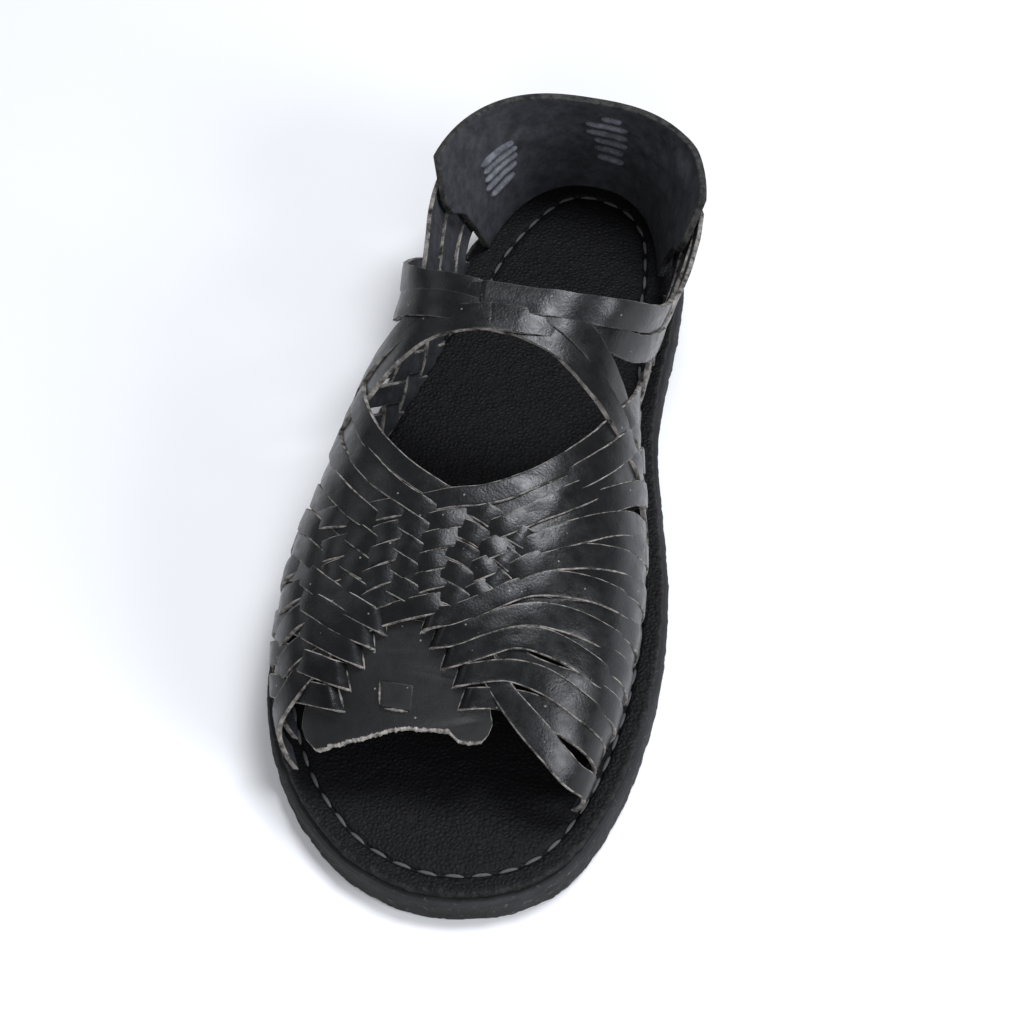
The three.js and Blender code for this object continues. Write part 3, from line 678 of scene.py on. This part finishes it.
def quarter_path(row, side):
    """The way of a short strip from the insole up to its slit in the counter."""
    share = np.linspace(-0.12, 1, 90)
    across = row["height"] + (1 - row["height"]) * (1 - share) ** 3
    path = np.stack([row["foot"] + (row["slit"] - row["foot"]) * share, side * across], -1)
    return path[across <= full_reach]


def steps_over_last(path, step):
    """The same way in even steps over the last."""
    places = last_point(path[:, 0], path[:, 1])
    run = np.concatenate([[0], np.cumsum(np.linalg.norm(np.diff(places, axis=0), axis=1))])
    want = np.linspace(0, run[-1], max(4, round(run[-1] / step)) + 1)
    return np.stack([np.interp(want, run, path[:, 0]), np.interp(want, run, path[:, 1])], -1), run[-1]


strips = []
for row in long_strips:
    strips.append({"set": row["set"], "order": row["order"], "path": long_path(row), "tip": row.get("tip"),
                   "slit": False})
for i, row in enumerate(quarter_strips):
    strips.append({"set": "R", "order": 14 + i, "path": quarter_path(row, 1), "tip": None, "slit": True})
    strips.append({"set": "L", "order": 13 + i, "path": quarter_path(row, -1), "tip": None, "slit": True})
for strip in strips:
    strip["steps"], strip["length"] = steps_over_last(strip["path"], strip_step)
    strip["levels"] = []


def crossing(first, second):
    """Where two ways cross, as a share of each, or nothing."""
    p, r = first[:-1, None], (first[1:] - first[:-1])[:, None]
    q, s = second[None, :-1], (second[1:] - second[:-1])[None]
    cross = r[..., 0] * s[..., 1] - r[..., 1] * s[..., 0]
    cross = np.where(np.abs(cross) < 1e-14, 1e-14, cross)
    d = q - p
    t = (d[..., 0] * s[..., 1] - d[..., 1] * s[..., 0]) / cross
    u = (d[..., 0] * r[..., 1] - d[..., 1] * r[..., 0]) / cross
    hits = np.argwhere((t >= 0) & (t < 1) & (u >= 0) & (u < 1))
    if not len(hits):
        return None
    i, j = hits[0]
    return (i + t[i, j]) / (len(first) - 1), (j + u[i, j]) / (len(second) - 1)


for one in [strip for strip in strips if strip["set"] == "R"]:
    for other in [strip for strip in strips if strip["set"] == "L"]:
        meeting = crossing(one["steps"], other["steps"])
        over = 1 if (one["order"] + other["order"]) % 2 == 0 else -1
        if meeting:
            across = np.interp(meeting[0], np.linspace(0, 1, len(one["steps"])), one["steps"][:, 1])
            if one["tip"] is not None and one["order"] < 5 and across > proud_outer:
                over = 1
            if other["tip"] is not None and across < proud_inner:
                over = -1
            if (one["order"], other["order"]) == (5, 5):
                over = -1
            one["levels"].append((meeting[0], over))
            other["levels"].append((meeting[1], -over))
for strip in strips:
    for at, end in ((0, strip["steps"][0]), (1, strip["steps"][-1])):
        if end[1] > 1:
            strip["levels"].append((at, 1 if strip["set"] == "R" else -1))
        elif abs(end[1]) < 1:
            strip["levels"].append((at, -1 if strip["set"] == "R" and strip["order"] == 5 else 1))
    strip["levels"].sort()


def level_at(levels, share):
    """How high a strip lies at shares of its way, from 1 over to -1 under."""
    at = np.array([a for a, level in levels])
    level = np.array([level for a, level in levels], float)
    if len(at) == 1:
        return np.full(len(share), level[0])
    i = np.clip(np.searchsorted(at, share) - 1, 0, len(at) - 2)
    t = np.clip((share - at[i]) / np.maximum(at[i + 1] - at[i], 1e-6), 0, 1)
    t = t * t * (3 - 2 * t)
    return level[i] * (1 - t) + level[i + 1] * t


def hidden_tip(strip):
    """The last strip at the plate ends under the weave, and not in a slit."""
    return strip["set"] == "R" and strip["order"] == 5


slit_lines = []


def add_strip(bm, worn, strip):
    """Lays one strip over the last: a fine grid, bent to its way, with slightly ragged edges."""
    steps = strip["steps"]
    count = len(steps) - 1
    share = np.arange(count + 1) / count
    centre = last_point(steps[:, 0], steps[:, 1])
    normal = last_normal(steps[:, 0], steps[:, 1])
    forward = np.gradient(centre, axis=0)
    forward /= np.linalg.norm(forward, axis=1)[:, None]
    side = np.cross(forward, normal)
    side /= np.linalg.norm(side, axis=1)[:, None]
    lift = strip_thickness / 2 + weave_lift * (1 + level_at(strip["levels"], share))
    reach = np.clip((np.abs(steps[:, 1]) - 0.12) / 0.16, 0, 1)
    gain = np.where(steps[:, 1] > 0, inner_gain, outer_gain)
    width = (middle_width + gain * reach * reach * (3 - 2 * reach)) * mm
    if strip["order"] > last_vamp_order[strip["set"]]:
        width = np.full(count + 1, band_width * mm)
    if strip["set"] == "R" and strip["order"] == 6:
        width = width + lowest_gain * mm * np.clip((steps[:, 1] - 0.05) / 0.1, 0, 1)
    slant = 0.0
    fade = np.zeros(count + 1)
    if (strip["tip"] is not None and not hidden_tip(strip)) or strip["slit"]:
        end = 0 if strip["tip"] is not None and strip["set"] == "L" else count
        to_end = np.abs(np.arange(count + 1) - end) / count * strip["length"]
        lift = lift - tip_dive * np.clip(1 - to_end / tip_dive_over, 0, 1) ** 2
        cut = side[end]
        if strip["tip"] is not None:
            a, q = steps[end]
            cut = last_point(a + 0.004, q) - last_point(a - 0.004, q)
            cut = cut / np.linalg.norm(cut)
            cut = cut - np.cross(cut, normal[end]) * tip_lean * (1 if strip["set"] == "R" else -1)
            slant = np.clip(cut @ forward[end] / (cut @ side[end]), -1.5, 1.5)
            fade = np.clip(1 - to_end / (11 * mm), 0, 1)
        half_line = width[end] / 2 / max(0.4, abs(cut @ side[end]))
        slit_lines.append((strip["tip"] is not None, centre[end], cut, normal[end], half_line,
                           forward[end] * (-1 if end == 0 else 1)))
    for vert in bmesh.ops.create_grid(bm, x_segments=6, y_segments=count, size=0.5)["verts"]:
        i = round((vert.co.y + 0.5) * count)
        across = vert.co.x
        way = share[i] * strip["length"]
        edge = noise.noise(Vector((way * 160, across * 3, strip["order"] * 7.3)))
        tear = noise.noise(Vector((way * 520, across * 5, strip["order"] * 3.1)))
        wide = width[i] * (1 + 0.05 * edge + 0.02 * tear)
        crown = crown_rise * (1 - (2 * across) ** 2)
        crown += uneven_rise * noise.noise(Vector((way * 130, across * 1.4, strip["order"])))
        shift = across * wide * slant * fade[i]
        vert.co = centre[i] + side[i] * across * wide + forward[i] * shift + normal[i] * (lift[i] + crown)
        vert[worn] = abs(2 * across) ** 3


def part_of(strip):
    """The piece of the upper that a strip belongs to."""
    if strip["slit"]:
        return "quarter_weave"
    if strip["order"] > last_vamp_order[strip["set"]]:
        return "instep_band"
    return "vamp_weave" if strip["set"] == "R" else "vamp_weave_back"


for part in ("vamp_weave", "vamp_weave_back", "instep_band", "quarter_weave"):
    bm = bmesh.new()
    worn = bm.verts.layers.float.new("edge_wear")
    for strip in strips:
        if part_of(strip) == part:
            add_strip(bm, worn, strip)
    piece = new_piece(part, bm, strip_leather, cut_edge, flesh_side)
    finish_sheet(piece, strip_thickness, edge_round=0.34 * mm)
    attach(piece, "root")
    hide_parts("upper")


# Toe plate
# A smooth piece of leather over the toes. Its front edge was cut by eye and has torn, so the raw
# hide shows, and the ends of the front strips step into slits along both its sides.
plate_front = [(-0.53, 0.129), (-0.523, 0.1195), (-0.5, 0.113), (-0.46, 0.1087), (-0.42, 0.108),
               (-0.25, 0.115), (-0.15, 0.122), (-0.07, 0.13), (0.03, 0.134), (0.06, 0.13),
               (0.11, 0.1305), (0.135, 0.134), (0.149, 0.14), (0.155, 0.149)]
plate_outer = -0.53
plate_span = 0.685
plate_back = 0.226
plate_back_outer = -0.2
plate_back_span = 0.25
plate_thickness = 2 * mm
leather_gap = 0.3 * mm  # between the last and a sheet that lies under the strips
fold_width = 0.0045
square_at = {"along": 0.146, "length": 0.022, "across": -0.125, "width": 0.085}

plate_leather = polished_leather("smooth_plate_leather", "#181818", "#212121", 0.46, 260)
plate_line = smooth_curve(plate_front, 12)
plate_folds = [
    {"along": 0.182, "across": 0.0, "lean": -0.02, "wide": 0.07, "deep": 0.35},
    {"along": 0.142, "across": 0.06, "lean": 0.12, "wide": 0.06, "deep": 0.45},
    {"along": 0.135, "across": -0.36, "lean": -0.08, "wide": 0.09, "deep": 0.4},
    {"along": 0.2, "across": -0.1, "lean": 0.04, "wide": 0.08, "deep": -0.3},
]


def plate_front_at(q):
    """Where the plate's front edge lies, with the waver and the nicks of a knife cut."""
    share = (q - plate_outer) / plate_span
    waver = 0.002 * noise.noise(Vector((share * 14, 0, 0))) + 0.0009 * noise.noise(Vector((share * 70, 3, 0)))
    return np.interp(q, plate_line[:, 0], plate_line[:, 1]) + waver


def fold_depth(a, q):
    """Shallow folds where the toes have bent the plate."""
    depth = 0.0
    for row in plate_folds:
        away = (a - row["along"] - row["lean"] * (q - row["across"])) / fold_width
        depth += row["deep"] * mm * math.exp(-away ** 2 - ((q - row["across"]) / row["wide"]) ** 2)
    return depth


bm = bmesh.new()
worn = bm.verts.layers.float.new("edge_wear")
for vert in bmesh.ops.create_grid(bm, x_segments=90, y_segments=40, size=0.5)["verts"]:
    across, along = vert.co.x + 0.5, vert.co.y + 0.5
    edge = plate_outer + plate_span * across
    front = plate_front_at(edge)
    q = edge * (1 - along) + (plate_back_outer + plate_back_span * across) * along
    a = front * (1 - along) + plate_back * along
    vert.co = last_point(a, q) - last_normal(a, q) * (leather_gap + plate_thickness / 2 + fold_depth(a, q))
    vert[worn] = max(0, 1 - along * 30)
plate = new_piece("toe_plate", bm, plate_leather, cut_edge, flesh_side)
finish_sheet(plate, plate_thickness, edge_round=0.8 * mm)
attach(plate, "root")
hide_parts("vamp_plate")

# The front edge is torn: a ragged roll of pale fibres stands out along it
raw_edge = raw_leather("torn_edge_leather", "#55524e", "#b3aea6", 1.8 * mm)
torn_outer = -0.52
torn_span = 0.665
bm = bmesh.new()
for vert in bmesh.ops.create_grid(bm, x_segments=10, y_segments=220, size=0.5)["verts"]:
    share = vert.co.y + 0.5
    q = torn_outer + torn_span * share
    a = plate_front_at(q)
    around = 2 * math.pi * vert.co.x
    torn = 1 + 0.35 * noise.noise(Vector((share * 60, 0, 5)))
    torn += 0.3 * noise.noise(Vector((share * 190, vert.co.x, 8)))
    slim = min(1, 14 * share, 14 * (1 - share)) ** 0.5
    onward = last_point(a + 0.004, q) - last_point(a - 0.004, q)
    onward = onward / np.linalg.norm(onward)
    out = last_normal(a, q)
    vert.co = (last_point(a, q) - out * (leather_gap + plate_thickness / 2)
               + out * math.sin(around) * 1.0 * mm * torn * slim
               - onward * math.cos(around) * 0.75 * mm * torn * slim)
bmesh.ops.remove_doubles(bm, verts=bm.verts, dist=0.01 * mm)
bmesh.ops.recalc_face_normals(bm, faces=bm.faces)
torn_edge = new_piece("plate_torn_edge", bm, raw_edge)
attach(torn_edge, "root")

# A small square stands up in the plate, tilted, with slits at two of its sides
bm = bmesh.new()
worn = bm.verts.layers.float.new("edge_wear")
for vert in bmesh.ops.create_grid(bm, x_segments=10, y_segments=8, size=0.5)["verts"]:
    a = square_at["along"] + square_at["length"] * (vert.co.y + 0.5)
    q = square_at["across"] + square_at["width"] * (vert.co.x + 0.5)
    tilt = (0.25 + 0.75 * (0.5 - vert.co.x) + 0.35 * (0.5 - vert.co.y)) * mm
    vert.co = last_point(a, q) + last_normal(a, q) * (tilt - leather_gap - plate_thickness / 2)
square = new_piece("plate_square", bm, plate_leather, dyed_edge, plate_leather)
finish_sheet(square, plate_thickness, edge_round=0.3 * mm)
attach(square, "root")
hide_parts("vamp_plate")
square_slits = [
    {"along": 0.157, "across": -0.128, "lengthwise": True, "half": 2.9 * mm},
    {"along": 0.1452, "across": -0.082, "lengthwise": False, "half": 3.2 * mm},
]
for row in square_slits:
    a, q = row["along"], row["across"]
    out = last_normal(a, q)
    along = last_point(a + 0.004, q) - last_point(a - 0.004, q)
    across = last_point(a, q + 0.012) - last_point(a, q - 0.012)
    long, wide = (along, across) if row["lengthwise"] else (across, along)
    slit_lines.append((True, last_point(a, q) + out * 0.35 * mm, long / np.linalg.norm(long), out,
                       row["half"], wide / np.linalg.norm(wide)))


def slit_lips(name, on_plate):
    """The pale lips of the slits that the strips' ends go into."""
    bm = bmesh.new()
    for of_plate, at, cut, normal, half_line, onward in slit_lines:
        if of_plate == on_plate:
            cut = cut / np.linalg.norm(cut)
            for vert in bmesh.ops.create_uvsphere(bm, u_segments=8, v_segments=14, radius=0.5)["verts"]:
                x, y, z = vert.co
                rough = 1 + 0.5 * noise.noise(Vector((z * 9, at[0] * burrs, at[1] * burrs)))
                vert.co = (at + onward * (x * 0.8 * mm * rough - 0.1 * mm) + cut * z * half_line * 2.1
                           + normal * (y * 1.0 * mm * rough - 0.25 * mm))
    bmesh.ops.recalc_face_normals(bm, faces=bm.faces)
    lips = new_piece(name, bm, cut_edge)
    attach(lips, "root")


slit_lips("plate_slit_lips", True)


# Heel counter
# One wide piece of smooth leather round the heel, sewn in under the insole. Its wings reach
# forward with a small tab, and it has creased where the heel has pushed it down.
counter_thickness = 2.2 * mm
counter_height = 46  # mm at the back
wing_rise = 3  # mm more at the wings
# Height above the insole, and how far behind the front of the heel the leather ends there, in mm
counter_front = [(0, 22), (24, 13), (31, 6), (36, 5), (49, 12)]
heel_radius = 38  # mm
# Angle round the heel and lean in degrees, and height, length, width and depth of each crease in mm
counter_creases = [
    {"turn": 34, "z": 43, "lean": 16, "long": 20, "wide": 3.0, "deep": 1.1},
    {"turn": 44, "z": 35, "lean": 13, "long": 18, "wide": 2.6, "deep": 0.9},
    {"turn": 26, "z": 33, "lean": 20, "long": 15, "wide": 2.4, "deep": 0.7},
    {"turn": 52, "z": 50, "lean": -10, "long": 14, "wide": 4.0, "deep": 1.5},
    {"turn": -30, "z": 40, "lean": -18, "long": 22, "wide": 3.4, "deep": 0.7},
    {"turn": -8, "z": 22, "lean": 30, "long": 26, "wide": 4.0, "deep": 0.5},
]


def crease_depth(turn, z):
    """Soft troughs where the heel has pushed the leather down, each with a low ridge beside it."""
    depth = 0.0
    for row in counter_creases:
        run = (turn - math.radians(row["turn"])) * heel_radius
        rise = z / mm - row["z"]
        lean = math.radians(row["lean"])
        along = run * math.cos(lean) + rise * math.sin(lean)
        away = (rise * math.cos(lean) - run * math.sin(lean)) / row["wide"]
        fade = math.exp(-(2 * along / row["long"]) ** 2)
        depth += row["deep"] * mm * fade * (math.exp(-away**2) - 0.5 * math.exp(-(away - 1.6) ** 2))
    return depth


def heel_point(turn, z):
    """A place on the heel of the last, by the angle round it from the back, and the height."""
    back, wide, power = heel_shape(z)
    x = -0.5 * mm + wide * np.sign(np.sin(turn)) * np.abs(np.sin(turn)) ** (2 / power)
    u = heel_front + (back - heel_front) * np.abs(np.cos(turn)) ** (2 / power)
    return np.array([x, u - sole_length / 2, z])


def heel_out(turn, z):
    """The level direction out of the last there."""
    ahead = heel_point(turn + 0.02, z) - heel_point(turn - 0.02, z)
    return np.array([-ahead[1], ahead[0], 0]) / math.hypot(ahead[0], ahead[1])


counter_leather = polished_leather("smooth_counter_leather", "#141517", "#202124", 0.44, 240)
bm = bmesh.new()
worn = bm.verts.layers.float.new("edge_wear")
for vert in bmesh.ops.create_grid(bm, x_segments=160, y_segments=40, size=0.5)["verts"]:
    side = vert.co.x * 2
    share = vert.co.y + 0.5
    top = counter_height + wing_rise * side * side
    height = share * top
    z = insole_top + leather_gap + height * mm
    back, wide, power = heel_shape(z)
    front = np.interp(height, [h for h, r in counter_front], [r for h, r in counter_front])
    turn = side * math.acos((front * mm / (back - heel_front)) ** (power / 2))
    deep = leather_gap + counter_thickness / 2 + crease_depth(turn, z)
    vert.co = heel_point(turn, z) - heel_out(turn, z) * deep
    vert[worn] = max(0, 1 - (1 - share) * 12)
bmesh.ops.reverse_faces(bm, faces=bm.faces)
counter = new_piece("counter_leather_wall", bm, counter_leather, dyed_edge, flesh_side)
finish_sheet(counter, counter_thickness, edge_round=0.45 * mm)
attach(counter, "root")
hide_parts("heel_counter")

slit_lips("counter_slit_lips", False)

# Where the strips' ends are stitched flat inside the counter, they press short ridges into it.
# Low and high are angles round the heel in degrees, and the height is in mm.
pressed_ends = [
    {"low": -62, "high": -40, "z": 42},
    {"low": -62, "high": -39, "z": 39},
    {"low": -63, "high": -40, "z": 36},
    {"low": -64, "high": -42, "z": 32.8},
    {"low": -62, "high": -45, "z": 29},
    {"low": 2, "high": 10, "z": 50},
    {"low": -2, "high": 14, "z": 46},
    {"low": -2, "high": 15, "z": 41.8},
    {"low": 0, "high": 16, "z": 37.8},
    {"low": 0, "high": 15, "z": 33.5},
    {"low": 1, "high": 16, "z": 29.2},
]
ridge_width = 2.3 * mm
ridge_height = 1.3 * mm
bm = bmesh.new()
for row in pressed_ends:
    for vert in bmesh.ops.create_uvsphere(bm, u_segments=12, v_segments=18, radius=0.5)["verts"]:
        x, y, z = vert.co
        full = 0.0
        if abs(z) < 0.499:
            full = (1 - (2 * z) ** 6) ** 0.5 / max(0.2, (1 - (2 * z) ** 2) ** 0.5)
        turn = math.radians(row["low"] + (row["high"] - row["low"]) * (z + 0.5))
        level = row["z"] * mm + y * ridge_width * full
        deep = leather_gap + counter_thickness + x * 2 * ridge_height * full + crease_depth(turn, level)
        vert.co = heel_point(turn, level) - heel_out(turn, level) * deep
bmesh.ops.recalc_face_normals(bm, faces=bm.faces)
# The ridges take the paler, bluer flesh leather, which paints in the highlight that falls on them
ridges = new_piece("counter_ridges", bm, ridge_flesh_with_painted_highlight)
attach(ridges, "root")
